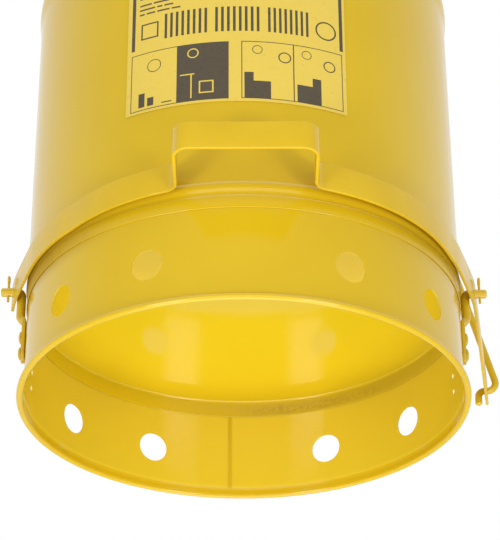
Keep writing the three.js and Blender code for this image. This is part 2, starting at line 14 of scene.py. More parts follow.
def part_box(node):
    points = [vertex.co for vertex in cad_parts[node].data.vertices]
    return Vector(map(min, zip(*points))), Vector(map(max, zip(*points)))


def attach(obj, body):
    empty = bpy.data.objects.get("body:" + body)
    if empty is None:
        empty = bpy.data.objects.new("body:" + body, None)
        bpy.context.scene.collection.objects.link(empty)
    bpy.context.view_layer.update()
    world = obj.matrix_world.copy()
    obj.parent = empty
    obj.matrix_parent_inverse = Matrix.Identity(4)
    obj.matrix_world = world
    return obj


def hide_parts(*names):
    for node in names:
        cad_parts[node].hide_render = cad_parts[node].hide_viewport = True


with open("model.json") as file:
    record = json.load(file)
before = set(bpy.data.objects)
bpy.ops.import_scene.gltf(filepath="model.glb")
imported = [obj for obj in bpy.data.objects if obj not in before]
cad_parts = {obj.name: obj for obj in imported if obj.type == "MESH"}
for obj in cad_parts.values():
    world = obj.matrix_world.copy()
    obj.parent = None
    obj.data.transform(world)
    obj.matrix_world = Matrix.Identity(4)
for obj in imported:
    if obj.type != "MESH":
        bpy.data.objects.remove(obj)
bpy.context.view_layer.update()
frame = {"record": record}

MM = 0.001
ROUND = 256  # steps round the can

# ---------- Places from the frame ----------

ring_low, ring_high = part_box("base_ring")
body_low, body_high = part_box("body_shell")
pan_low, pan_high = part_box("bottom_pan")
lid_low, lid_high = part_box("lid_shell")
lever_low, lever_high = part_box("foot_lever")
label_low, label_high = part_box("label_film")

AXIS = Vector(((ring_low.x + ring_high.x) / 2, (ring_low.y + ring_high.y) / 2, 0))
FLOOR = ring_low.z
JOINTS = {joint["name"]: Vector(joint["pos_m"]) for joint in frame["record"]["behaviour"]["joints"]}
PIVOT = JOINTS["lever_pivot"] - AXIS
ROD_FOOT = JOINTS["rod_swivel"] - AXIS
HINGE = JOINTS["lid_hinge"] - AXIS


def middle_of(node):
    low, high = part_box(node)
    return (low + high) / 2 - AXIS


def corners_of(node):
    """The low and high corners of a node's box, from the can's axis."""
    return [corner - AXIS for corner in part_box(node)]


# The split pins stand in the studs: side -1 is the left stud and side 1 the right one.
PINS = {-1: middle_of("pivot_cotter_left"), 1: middle_of("pivot_cotter_right")}

# ---------- Driving dimensions of the fine pieces ----------

RIM_TUBE = 3 * MM
RIM_RADIUS = (ring_high.x - ring_low.x) / 2 - RIM_TUBE  # to the middle of the rolled foot rim
CAN_RADIUS = 198 * MM
CAN_WALL = 0.7 * MM
RING_RADIUS = 197 * MM
RING_WALL = 0.8 * MM
PAN_RADIUS = (pan_high.x - pan_low.x) / 2
PAN_WALL = 0.8 * MM
PAN_Z = pan_high.z - PAN_WALL
VENT_RADIUS = 14.3 * MM  # the ring has four vents on each side, at these angles from the front
VENT_Z = 43.9 * MM
VENT_ANGLES = (25.5, 54.2, 125.8, 154.5)
PATTERN_TURN = 1.43  # degrees that the pattern of the ring's holes is turned
SMALL_HOLE_RADIUS = 2.7 * MM  # and two small holes on each side, one above the other
SMALL_HOLE_ANGLE = 99.9
SMALL_HOLE_HEIGHTS = (34.9 * MM, 50.7 * MM)
STRIP = 2.9 * MM  # the foot lever's thickness
STUD_RADIUS = 4.15 * MM
ROD_RADIUS = 3.5 * MM
DRILL_REACH = 9 * MM
SHEET_EDGE = 0.5 * MM  # how far the edges of plates are eased
SEAM_RISE = 0.5 * MM
SEAM_TURN = -4.1  # degrees from the rear to the base ring's welded seam
CAN_SEAM_TURN = 38  # degrees from the rear to the can's side seam, beside the hinge bracket


# ---------- Mesh helpers ----------

def linked(name, data):
    """An object in the scene that holds this mesh, lamp or camera."""
    made = bpy.data.objects.new(name, data)
    bpy.context.scene.collection.objects.link(made)
    return made


def add_object(name, verts, faces, smooth_angle=35):
    """A mesh object in the frame's coordinates from corners given relative to the can's axis."""
    mesh = bpy.data.meshes.new(name)
    mesh.from_pydata([Vector(v) + AXIS for v in verts], [], faces)
    mesh.validate()
    mesh.update()
    mesh.shade_smooth()
    mesh.set_sharp_from_angle(angle=radians(smooth_angle))
    return linked(name, mesh)


def arc(x, y, radius, start, end, steps):
    """Points on a circle, angles in degrees."""
    turns = [radians(between(start, end, i / steps)) for i in range(steps + 1)]
    return [(x + radius * cos(t), y + radius * sin(t)) for t in turns]


def between(start, end, part):
    return start + (end - start) * part


def smooth_step(t):
    return t * t * (3 - 2 * t)


def eased(start, corner, end, steps=12):
    """A curve from start to end that leaves and arrives along the lines to the corner."""
    points = [Vector(start), Vector(corner), Vector(end)]
    turns = [k / steps for k in range(steps + 1)]
    return [points[0] * (1 - t) ** 2 + points[1] * 2 * t * (1 - t) + points[2] * t ** 2 for t in turns]


def one_for_each(radius, count):
    return radius if isinstance(radius, list) else [radius] * count


def rounded(points, radius, steps=5):
    """A closed outline with each corner rounded; radius is one number or one for each corner."""
    radii = one_for_each(radius, len(points))
    out = []
    for i, corner in enumerate(points):
        here = Vector(corner)
        into = Vector(points[i - 1]) - here
        away = Vector(points[(i + 1) % len(points)]) - here
        if radii[i] <= 0:
            out.append(tuple(here))
            continue
        half = into.angle(away) / 2
        reach = min(radii[i] / tan(half), into.length * 0.49, away.length * 0.49)
        start = here + into.normalized() * reach
        end = here + away.normalized() * reach
        out += [tuple(point) for point in eased(start, here, end, steps)]
    return out


def block(left, right, low, high):
    """The four corners of an upright rectangle."""
    return [(left, low), (right, low), (right, high), (left, high)]


def anticlockwise(outline):
    points = list(outline)
    area = sum(a[0] * b[1] - b[0] * a[1] for a, b in zip(points, points[1:] + points[:1]))
    return points if area >= 0 else points[::-1]


def turned(name, profile, steps=ROUND, smooth_angle=35, place=None):
    """A closed profile of (radius, height) turned about the can's axis, or about a placed axis."""
    verts, rings = [], []
    for r, z in anticlockwise(profile):
        if r < 1e-9:
            rings.append([len(verts)] * steps)
            verts.append((0, 0, z))
            continue
        rings.append(list(range(len(verts), len(verts) + steps)))
        verts += [(r * sin(2 * pi * k / steps), -r * cos(2 * pi * k / steps), z) for k in range(steps)]
    faces = []
    for a, b in zip(rings, rings[1:] + rings[:1]):
        if a[0] == a[1] and b[0] == b[1]:
            continue
        for k in range(steps):
            n = (k + 1) % steps
            face = [a[k], a[n], b[n], b[k]]
            faces.append([v for i, v in enumerate(face) if v != face[i - 1]])
    if place is not None:
        verts = [place @ Vector(v) for v in verts]
    return add_object(name, verts, faces, smooth_angle)


def lofted(name, rings, smooth_angle):
    """A closed skin over rings of points, with flat ends."""
    count = len(rings[0])
    verts = [v for ring in rings for v in ring]
    faces = []
    for i in range(len(rings) - 1):
        for k in range(count):
            n = (k + 1) % count
            faces.append([i * count + k, i * count + n, (i + 1) * count + n, (i + 1) * count + k])
    faces.append(list(range(count))[::-1])
    faces.append([(len(rings) - 1) * count + k for k in range(count)])
    return add_object(name, verts, faces, smooth_angle)


def bent(corners, radius, steps=10):
    """A line through corner points with a round bend at each inner corner; one radius or one for each."""
    points = [Vector(corners[0])]
    radii = one_for_each(radius, len(corners) - 2)
    for before, corner, after, bend in zip(corners, corners[1:], corners[2:], radii):
        here = Vector(corner)
        into = (Vector(before) - here).normalized()
        away = (Vector(after) - here).normalized()
        half = into.angle(away) / 2
        centre = here + (into + away).normalized() * (bend / sin(half))
        start = here + into * bend / tan(half) - centre
        end = here + away * bend / tan(half) - centre
        sweep = start.angle(end)
        for k in range(steps + 1):
            t = k / steps
            points.append(centre + (start * sin((1 - t) * sweep) + end * sin(t * sweep)) / sin(sweep))
    points.append(Vector(corners[-1]))
    return points


def heading(points, i):
    """The direction of a line of points at one of them."""
    return (points[min(i + 1, len(points) - 1)] - points[max(i - 1, 0)]).normalized()


def round_end(radius, steps=4):
    """Insets and pull-backs of a slightly rounded bar end, from the tip inwards."""
    edge = radius * 0.35
    turns = [pi / 2 * k / steps for k in range(steps + 1)]
    return [(radius - edge + edge * sin(t), edge * (1 - cos(t))) for t in turns]


def bar(name, points, radius, sides):
    """A round bar along points, with slightly rounded ends."""
    line = [Vector(p) for p in points]
    first = (line[1] - line[0]).normalized()
    last = (line[-1] - line[-2]).normalized()
    stations = [(line[0] + first * back, r) for r, back in round_end(radius)]
    stations += [(p, radius) for p in line[1:-1]]
    stations += [(line[-1] - last * back, r) for r, back in reversed(round_end(radius))]
    across = first.orthogonal().normalized()
    places = [place for place, r in stations]
    rings = []
    for i, (place, r) in enumerate(stations):
        along = heading(places, i)
        across = (across - along * across.dot(along)).normalized()
        other = along.cross(across)
        turns = [2 * pi * k / sides for k in range(sides)]
        rings.append([place + (across * cos(t) + other * sin(t)) * r for t in turns])
    return lofted(name, rings, 50)


def plate(name, outline, low, high, turn):
    """A flat plate: an outline pushed from low to high, with eased edges, then turned into place."""
    points = anticlockwise(outline)
    count = len(points)

    def inset(distance):
        out = []
        for i in range(count):
            before, here, after = Vector(points[i - 1]), Vector(points[i]), Vector(points[(i + 1) % count])
            inward = (here - before).orthogonal().normalized()
            middle = (inward + (after - here).orthogonal().normalized()).normalized()
            out.append(here + middle * distance / max(middle.dot(inward), 0.5))
        return out

    edge = SHEET_EDGE
    levels = [(edge, low), (edge * 0.3, low + edge * 0.3), (0, low + edge)]
    levels += [(0, high - edge), (edge * 0.3, high - edge * 0.3), (edge, high)]
    rings = [[turn @ Vector((p.x, p.y, level)) for p in inset(d)] for d, level in levels]
    return lofted(name, rings, 40)


def combine(piece, others, operation="DIFFERENCE"):
    """Cuts the other pieces out of this one, or joins them to it, and removes them."""
    for other in others:
        step = piece.modifiers.new("combine", "BOOLEAN")
        step.operation = operation
        step.solver = "EXACT"
        step.object = other
    bpy.context.view_layer.update()
    done = bpy.data.meshes.new_from_object(piece.evaluated_get(bpy.context.evaluated_depsgraph_get()))
    piece.modifiers.clear()
    piece.data = done
    for other in others:
        bpy.data.objects.remove(other)
    done.shade_smooth()
    done.set_sharp_from_angle(angle=radians(30))
    return piece


def rod_between(name, start, end, radius, sides=48):
    return bar(name, [start, (Vector(start) + Vector(end)) / 2, end], radius, sides)


def dress(piece, material, body, nodes):
    """Gives a piece its material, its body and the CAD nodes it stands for."""
    piece.data.materials.clear()
    piece.data.materials.append(material)
    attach(piece, body)
    if nodes:
        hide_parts(*nodes)


# ---------- Materials ----------

def linear(red, green, blue):
    """A linear colour from screen values of 0 to 255."""
    parts = [c / 255 for c in (red, green, blue)]
    return tuple(c / 12.92 if c <= 0.04045 else ((c + 0.055) / 1.055) ** 2.4 for c in parts) + (1,)


YELLOW, DEEP_YELLOW = (0.685, 0.462, 0.012, 1), (0.66, 0.437, 0.009, 1)
INSIDE_PAINTED_LIGHT = (0.75, 0.555, 0.030, 1)  # painted light: inside the base ring the yellow is lighter and less orange than outside
FLANGE_DARK_YELLOW = (0.50, 0.36, 0.03, 1)
SPECK, RUBBED = linear(150, 112, 30), linear(140, 108, 40)
# The first colour is painted shade for the hollow under the lever; the second is grime on the pan's flange.
CREVICE_SHADE, FLANGE_GRIME = linear(176, 136, 40), linear(150, 120, 48)
PLATED, PLATED_LIGHT = linear(150, 150, 142), linear(186, 186, 180)


class Nodes:
    """A node tree, with short calls for the nodes that repeat."""

    def __init__(self, tree):
        self.tree = tree

    def add(self, kind, **settings):
        node = self.tree.nodes.new("ShaderNode" + kind)
        for name, value in settings.items():
            setattr(node, name, value)
        return node

    def fill(self, sockets, *values):
        """Links each socket to another node's output, or sets it to a plain value."""
        for socket, value in zip(sockets, values):
            if hasattr(value, "is_linked"):
                self.tree.links.new(value, socket)
            else:
                socket.default_value = value

    def ramp(self, value, low, high, start=0.0, end=1.0, kind="LINEAR"):
        node = self.add("MapRange", interpolation_type=kind)
        self.fill(node.inputs, value, low, high, start, end)
        return node.outputs["Result"]

    def math(self, operation, a, b=0.0, c=0.0):
        node = self.add("Math", operation=operation)
        self.fill(node.inputs, a, b, c)
        return node.outputs["Value"]

    def times(self, a, b):
        return self.math("MULTIPLY", a, b)

    def length(self, a, b):
        return self.math("SQRT", self.math("MULTIPLY_ADD", a, a, self.times(b, b)))

    def mix(self, factor, a, b):
        """A mix of two colours."""
        node = self.add("Mix", data_type="RGBA")
        self.fill([node.inputs[0], node.inputs[6], node.inputs[7]], factor, a, b)
        return node.outputs[2]

    def blend(self, factor, a, b):
        """A mix of two numbers."""
        node = self.add("Mix", data_type="FLOAT")
        self.fill([node.inputs[0], node.inputs[2], node.inputs[3]], factor, a, b)
        return node.outputs[0]

    def split(self, vector):
        node = self.add("SeparateXYZ")
        self.fill(node.inputs, vector)
        return node.outputs


class Look(Nodes):
    """A material's node tree round its Principled shader."""

    def __init__(self, name):
        self.material = bpy.data.materials.new(name)
        self.material.use_nodes = True
        super().__init__(self.material.node_tree)
        self.shader = self.tree.nodes["Principled BSDF"]
        self.place = self.add("TexCoord").outputs["Object"]

    def set(self, **inputs):
        for name, value in inputs.items():
            self.fill([self.shader.inputs[name.replace("_", " ")]], value)

    def noise(self, scale, detail, roughness=0.5, stretch=None):
        node = self.add("TexNoise")
        source = self.place
        if stretch:
            mapping = self.add("Mapping")
            self.fill([mapping.inputs["Vector"], mapping.inputs["Scale"]], self.place, stretch)
            source = mapping.outputs["Vector"]
        sockets = [node.inputs[name] for name in ("Vector", "Scale", "Detail", "Roughness")]
        self.fill(sockets, source, scale, detail, roughness)
        return node.outputs["Fac"]

    def bump(self, height, strength, distance, after=None):
        node = self.add("Bump")
        sockets = [node.inputs[name] for name in ("Height", "Strength", "Distance")]
        self.fill(sockets, height, strength, distance)
        if after is not None:
            self.fill([node.inputs["Normal"]], after)
        return node.outputs["Normal"]


def paint(name, colour, deep, gloss=0.10, waves=0.10, over=None):
    """Glossy yellow powder coat: slow colour drift, orange peel, soft sheet waves and fine dark specks."""
    look = Look(name)
    drift = look.ramp(look.noise(7, 2), 0.35, 0.7)
    body = look.mix(drift, colour, deep)
    speck = look.ramp(look.noise(420, 2, 0.6), 0.745, 0.79, 0, 0.4)
    body = look.mix(speck, body, SPECK)
    look.set(Roughness=look.ramp(look.noise(60, 3), 0.3, 0.7, gloss, gloss + 0.06))
    if over is not None:
        body = over(look, body)
    look.set(Base_Color=body)
    peel = look.bump(look.noise(650, 2, 0.45), 0.05, 0.0004)
    look.set(Normal=look.bump(look.noise(9, 2, 0.4), waves, 0.004, peel))
    return look.material


def hardware_paint(name, colour, deep):
    """Thicker brushed-on paint over bar and strip, with rubbed places that show darker steel."""
    look = Look(name)
    drift = look.ramp(look.noise(25, 3), 0.35, 0.7)
    body = look.mix(drift, colour, deep)
    rub = look.ramp(look.noise(160, 4, 0.65), 0.70, 0.76, 0, 0.55)
    body = look.mix(rub, body, RUBBED)
    look.set(Base_Color=body)
    look.set(Roughness=look.ramp(look.noise(90, 3), 0.3, 0.7, 0.16, 0.28))
    peel = look.bump(look.noise(480, 3, 0.5), 0.12, 0.0005)
    look.set(Normal=look.bump(look.noise(45, 2), 0.10, 0.0012, peel))
    return look.material


def plated_steel(name):
    """Zinc plate: patchy grey with fine brushed lines."""
    look = Look(name)
    patches = look.ramp(look.noise(130, 4, 0.6), 0.35, 0.65)
    look.set(Base_Color=look.mix(patches, PLATED, PLATED_LIGHT))
    look.set(Metallic=0.95)
    look.set(Roughness=look.ramp(look.noise(220, 3), 0.3, 0.7, 0.28, 0.5))
    look.set(Normal=look.bump(look.noise(900, 2, stretch=(1, 1, 0.1)), 0.15, 0.0002))
    return look.material


def crevice_painted_shade(look, body):
    """Painted shade in the hollow between the lever and the ring, near the studs and more on the left: a
    darker, matt colour.
    """
    x, _, z = look.split(look.place)
    left = look.ramp(x, AXIS.x - 105 * MM, AXIS.x - 170 * MM)
    right = look.ramp(x, AXIS.x + 105 * MM, AXIS.x + 170 * MM, 0, 0.35)
    beside = look.math("MAXIMUM", left, right)
    upper = look.ramp(z, 122 * MM, 108 * MM)
    lower = look.ramp(z, 78 * MM, 90 * MM)
    patchy = look.ramp(look.noise(55, 4, 0.6), 0.25, 0.6, 0.65, 1.0)
    amount = look.times(look.times(upper, lower), look.times(beside, patchy))
    look.set(Specular_IOR_Level=look.ramp(amount, 0, 0.8, 0.5, 0.08))
    look.set(Roughness=look.ramp(amount, 0, 0.8, 0.12, 0.5))
    # Painted shade: the colour darkens where the lever's arm shades the can and the ring.
    return look.mix(look.times(amount, 0.7), body, CREVICE_SHADE)


def inside_ring(look, body):
    """Inside the base ring the colour is painted lighter and a little greener, as painted light, and the
    coat is a little less glossy there.
    """
    x, y, _ = look.split(look.place)
    away = look.length(look.math("SUBTRACT", x, AXIS.x), look.math("SUBTRACT", y, AXIS.y))
    middle = RING_RADIUS - RING_WALL / 2
    inside = look.ramp(away, middle + 0.1 * MM, middle - 0.1 * MM)
    # The ring's top gets the painted shade of the hollow under the lever as well.
    body = crevice_painted_shade(look, body)
    gloss = look.ramp(look.noise(60, 3), 0.3, 0.7, 0.09, 0.15)
    look.set(Roughness=look.math("MULTIPLY_ADD", inside, 0.03, gloss))
    # Painted light: the inside of the ring takes the lighter, greener yellow.
    return look.mix(inside, body, INSIDE_PAINTED_LIGHT)


def flange_darkening_and_grime(look, body):
    """The pan's turned-down flange is coloured darker towards its middle and right, with grime from its
    middle to the right rear.
    """
    x, _, z = look.split(look.place)
    flange = look.ramp(z, PAN_Z - 2 * MM, PAN_Z - 4 * MM)
    darkening = look.times(flange, look.ramp(x, AXIS.x - 120 * MM, AXIS.x, 0.0, 0.55))
    darkened = look.mix(darkening, body, FLANGE_DARK_YELLOW)
    band = look.times(look.ramp(z, PAN_Z - 4 * MM, PAN_Z - 8 * MM),
                      look.ramp(z, pan_low.z + 0.5 * MM, pan_low.z + 3 * MM))
    side = look.times(look.ramp(x, AXIS.x - 10 * MM, AXIS.x + 30 * MM),
                      look.ramp(x, AXIS.x + 170 * MM, AXIS.x + 80 * MM))
    grain = look.ramp(look.noise(300, 5, 0.75), 0.40, 0.62)
    amount = look.times(look.times(band, side), look.times(grain, 0.5))
    return look.mix(amount, darkened, FLANGE_GRIME)


# Each coat with the record slot that it belongs to.
coats = {
    "can": (paint("can_powder_coat", YELLOW, DEEP_YELLOW, over=crevice_painted_shade), "can_paint"),
    "ring": (paint("ring_powder_coat", YELLOW, DEEP_YELLOW, gloss=0.09, over=inside_ring), "ring_paint"),
    "pan": (paint("pan_powder_coat", (0.70, 0.495, 0.009, 1), (0.685, 0.475, 0.007, 1), gloss=0.05,
                  waves=0.11, over=flange_darkening_and_grime), "pan_paint"),
    "lid": (paint("lid_powder_coat", YELLOW, DEEP_YELLOW), "lid_paint"),
    "seam": (paint("seam_powder_coat", (0.64, 0.45, 0.018, 1), (0.61, 0.42, 0.015, 1), gloss=0.2),
             "ring_paint"),
    "hardware": (hardware_paint("hardware_paint", (0.69, 0.46, 0.012, 1), (0.66, 0.43, 0.009, 1)),
                 "hardware_paint"),
    "steel": (plated_steel("plated_steel"), "plated_steel"),
}


def coat(piece, kind, body, *nodes):
    """Gives a piece one of the coats above."""
    material, slot = coats[kind]
    dress(piece, material, body, nodes)


# ---------- Can, pan and base ring ----------

CREASE, LOW_BEAD, WIDE_BEAD = 0.7 * MM, 1 * MM, 1.7 * MM  # how far in or out the wall goes
WIDE_BEAD_LOW, WIDE_BEAD_HIGH = 394 * MM, 430 * MM
CURL_TUBE = 2.6 * MM


def can_wall():
    """The can's wall: eased lower edge, crease, lower bead, wide upper bead and rolled top edge."""
    edge = 0.5 * MM
    low = body_low.z
    crease, bead_foot, bead_top = low + 12 * MM, low + 14 * MM, low + 20.5 * MM
    eased_edge = arc(CAN_RADIUS - edge, low + edge, edge, -90, 0, 6)
    levels = [(crease - 1 * MM, 0), (crease, -CREASE / 2), (crease + 1 * MM, -CREASE), (bead_foot, -CREASE)]
    levels += [(between(bead_foot, bead_top, k / 10),
                between(-CREASE, LOW_BEAD, smooth_step(k / 10))) for k in range(1, 11)]
    levels += [(bead_top + 1.5 * MM + 4.5 * MM * k / 8,
                LOW_BEAD * (1 - smooth_step(k / 8))) for k in range(9)]
    levels += [(between(WIDE_BEAD_LOW, WIDE_BEAD_HIGH, k / 28),
                WIDE_BEAD * sin(pi * k / 28) ** 2) for k in range(29)]
    wall = [(CAN_RADIUS + bulge, z) for z, bulge in levels]
    inside = [(r - CAN_WALL, z) for r, z in reversed(wall)]
    centre = CAN_RADIUS + 1.6 * MM
    outer = degrees(acos((CAN_RADIUS - centre) / CURL_TUBE))
    inner = degrees(acos((CAN_RADIUS - CAN_WALL - centre) / CURL_TUBE))
    curl = arc(centre, body_high.z - CURL_TUBE, CURL_TUBE, -outer, inner, 20)
    return turned("can_wall", eased_edge + wall + curl + inside + [(CAN_RADIUS - CAN_WALL, low)])


def pan():
    """The raised bottom: a flat disc with an eased corner and a flange turned down inside the ring."""
    inner = PAN_RADIUS - PAN_WALL
    low = pan_low.z
    corner = 2.2 * MM
    under = [(0, PAN_Z), (inner - 30 * MM, PAN_Z)] + arc(inner - corner, PAN_Z - corner, corner, 90, 0, 8)
    lip = arc((inner + PAN_RADIUS) / 2, low + PAN_WALL / 2, PAN_WALL / 2, 180, 360, 8)
    over = arc(PAN_RADIUS - corner - PAN_WALL, PAN_Z - corner, corner + PAN_WALL, 0, 90, 8)
    return turned("raised_bottom", under + lip + over + [(0, PAN_Z + PAN_WALL)])


def seam(name, radius, turn, low, high, width):
    """A welded lap: a thin raised strip up the wall, at a turn in degrees from the rear."""
    half = width / 2
    section = rounded(block(-half, half, -0.3 * MM, SEAM_RISE), [0, 0, 0.4 * MM, 0.4 * MM], 4)
    way = radians(turn)
    out, along = Vector((sin(way), cos(way), 0)), Vector((cos(way), -sin(way), 0))
    rings = []
    for z, shrink in ((low, 0.6), (low + 0.8 * MM, 1), (high - 0.8 * MM, 1), (high, 0.6)):
        rings.append([out * (radius + h * shrink) + along * s + Vector((0, 0, z)) for s, h in section])
    return lofted(name, rings, 40)


def ring_cutters():
    """Drills for the vents and for the small paired holes."""
    cutters = []

    def drill(angle, z, radius, sides):
        turn = radians(angle)
        out = Vector((sin(turn), -cos(turn), 0))
        middle, reach = out * RING_RADIUS + Vector((0, 0, z)), out * 6 * MM
        cutters.append(rod_between("drill", middle - reach, middle + reach, radius, sides))

    for side in (-1, 1):
        for angle in VENT_ANGLES:
            drill(side * angle + PATTERN_TURN, VENT_Z, VENT_RADIUS, 64)
        for z in SMALL_HOLE_HEIGHTS:
            drill(side * SMALL_HOLE_ANGLE + PATTERN_TURN, z, SMALL_HOLE_RADIUS, 32)
    return cutters


def radial_normals(piece, low, high):
    """Wall faces between two heights shade as a true cylinder, whatever the holes did to them."""
    mesh = piece.data
    nearly = 0.97
    loops = []
    for face in mesh.polygons:
        on_wall = low < face.center.z < high and face.normal.to_2d().length > nearly
        for index in face.loop_indices:
            corner = mesh.vertices[mesh.loops[index].vertex_index].co - AXIS
            out = Vector((corner.x, corner.y, 0)).normalized()
            facing = face.normal.dot(out)
            if on_wall and abs(facing) > nearly:
                loops.append(out if facing > 0 else -out)
            else:
                loops.append(Vector(mesh.corner_normals[index].vector))
    mesh.normals_split_custom_set(loops)


# How far the wall has gone outwards, and at which height, both in millimetres: inside and outside.
RIM_FLARE = [(0, 12.5), (0.1, 11.2), (0.45, 9.6), (0.95, 8), (1.15, 6.6), (1, 5.2)]
RIM_NECK = [(1.05, 6.4), (0.6, 8), (0.2, 10), (0, 12)]


def ring():
    """The base ring: a vented wall that flares into a rolled foot rim."""
    inner = RING_RADIUS - RING_WALL
    rim = arc(RIM_RADIUS, FLOOR + RIM_TUBE, RIM_TUBE, 190, 500, 40)
    levels = [15 * MM, 26 * MM, 62 * MM, 80 * MM]
    inside = [(inner, z) for z in reversed(levels)]
    outside = [(RING_RADIUS, z) for z in levels]
    flare = [(inner + out * MM, z * MM) for out, z in RIM_FLARE]
    neck = [(RING_RADIUS + out * MM, z * MM) for out, z in RIM_NECK]
    edge = [(RING_RADIUS, ring_high.z), (inner, ring_high.z)]
    made = turned("vented_ring", inside + flare + rim + neck + outside + edge)
    combine(made, ring_cutters())
    radial_normals(made, 16 * MM, ring_high.z - 1 * MM)
    return made


coat(can_wall(), "can", "can", "body_shell")
coat(pan(), "pan", "can", "bottom_pan")
coat(ring(), "ring", "can", "base_ring")
coat(seam("ring_seam", RING_RADIUS - RING_WALL - SEAM_RISE, SEAM_TURN, 9 * MM, 85 * MM, 3.2 * MM),
     "seam", "can")
# The can's side seam stops below the wide bead and goes on above it.
for seam_low, seam_high in ((106 * MM, 393 * MM), (431 * MM, 482 * MM)):
    coat(seam("can_seam", CAN_RADIUS, CAN_SEAM_TURN, seam_low, seam_high, 5 * MM), "can", "can")

# ---------- Foot lever ----------

STRIP_LOW, STRIP_HIGH = lever_low.z, lever_high.z
LEVER_SHIFT = 0.6 * MM  # the whole strip sits this far to the right
ARM_X = 211.2 * MM
ARM_SPLAY = radians(8.8)
ARM_BEND = 16 * MM
STRIP_EASE = 0.7 * MM
STUD_PLAY = 0.4 * MM
ROD_PLAY = 0.6 * MM
TAB_Y = lever_low.y - AXIS.y + STRIP / 2
TAB_CORNER = 13 * MM
CLOSE_RADIUS = 202.3 * MM  # the strip's middle comes no nearer to the can's axis than this
CLOSE_EASE = radians(3)
# Half of the tab, the arc's middle along Y and its radius, and the arm's bend and end, for each side.
RIGHT_SIDE = (60.4 * MM, -18.6 * MM, 195 * MM, -3 * MM, 206 * MM)
LEFT_SIDE = (57.4 * MM, -22.5 * MM, 187.8 * MM, -7 * MM, 8 * MM)


def lever_half(tab_half, arc_y, arc_radius, bend_y, arm_end):
    """Half of the strip's middle line, from the front of the tab to one arm's end."""
    bend = Vector((ARM_X, bend_y))
    fillet_x = tab_half + TAB_CORNER
    fillet_y = arc_y - sqrt((arc_radius + TAB_CORNER) ** 2 - fillet_x ** 2)
    begin = degrees(atan2(fillet_y - arc_y, fillet_x))

    def tangent(y, radius):
        return atan2(bend_y - y, ARM_X) - acos(radius / hypot(ARM_X, bend_y - y))

    meet = asin((CLOSE_RADIUS ** 2 - arc_radius ** 2 - arc_y ** 2) / (2 * arc_y * arc_radius))
    close_up = meet < tangent(arc_y, arc_radius)
    arc_end = meet - CLOSE_EASE if close_up else tangent(arc_y, arc_radius)
    line = [(0, TAB_Y), (20 * MM, TAB_Y), (40 * MM, TAB_Y)]
    line += arc(tab_half - TAB_CORNER, TAB_Y + TAB_CORNER, TAB_CORNER, -90, 0, 14)
    line += arc(fillet_x, fillet_y, TAB_CORNER, 180, 180 + begin, 12)
    line += arc(0, arc_y, arc_radius, begin, degrees(arc_end), 48)[1:]
    if close_up:
        corner = (arc_radius * cos(meet), arc_y + arc_radius * sin(meet))
        start = atan2(corner[1], corner[0]) + CLOSE_EASE
        close = arc(0, 0, CLOSE_RADIUS, degrees(start), degrees(tangent(0, CLOSE_RADIUS)), 20)
        line += eased(line[-1], corner, close[0])[1:] + close[1:]
    near = Vector(line[-1])
    ahead = bend + (near - bend).normalized() * ARM_BEND
    reach = min(ARM_BEND, arm_end - bend_y)
    behind = bend + Vector((tan(ARM_SPLAY), 1)) * reach
    line += eased(ahead, bend, behind)
    spare = arm_end - bend_y - reach
    if spare > 1 * MM:
        line += [behind + Vector((tan(ARM_SPLAY), 1)) * spare * k / 8 for k in range(1, 9)]
    return [Vector(p) for p in line]


def lever():
    """One steel strip on edge, bent round the can, with eased edges and three holes."""
    right = lever_half(*RIGHT_SIDE)
    left = [Vector((-p.x, p.y)) for p in lever_half(*LEFT_SIDE)]
    middle = [p + Vector((LEVER_SHIFT, 0)) for p in left[::-1] + right[1:]]
    half = STRIP / 2
    section = rounded(block(-half, half, STRIP_LOW, STRIP_HIGH), STRIP_EASE, 4)
    rings = []
    for i, place in enumerate(middle):
        along = heading(middle, i)
        out = Vector((along.y, -along.x))
        rings.append([(place.x + out.x * s, place.y + out.y * s, z) for s, z in section])
    made = lofted("foot_lever_strip", rings, 30)
    holes = [(side * ARM_X, PINS[side].y, STUD_RADIUS + STUD_PLAY) for side in (-1, 1)]
    holes.append((ROD_FOOT.x, ROD_FOOT.y, ROD_RADIUS + ROD_PLAY))
    return combine(made, [rod_between("drill", (x - DRILL_REACH, y, PIVOT.z), (x + DRILL_REACH, y, PIVOT.z),
                                      radius) for x, y, radius in holes])


coat(lever(), "hardware", "foot_lever", "foot_lever")

# ---------- Studs, rivets and split pins ----------

TAIL_HALF = 7.75 * MM
TAIL_THICK = 4 * MM
TAIL_GAP = 0.3 * MM
STUD_BEND = 5 * MM
LEG_X = 203.4 * MM
SHOULDER_TOP, SHOULDER_LOW = 90 * MM, 82 * MM  # where the bar is forged flat into the tail
TAIL_RIVET = (6 * MM, 2.5 * MM)  # the head's radius and height
SMALL_RIVET = (4.6 * MM, 2.2 * MM)


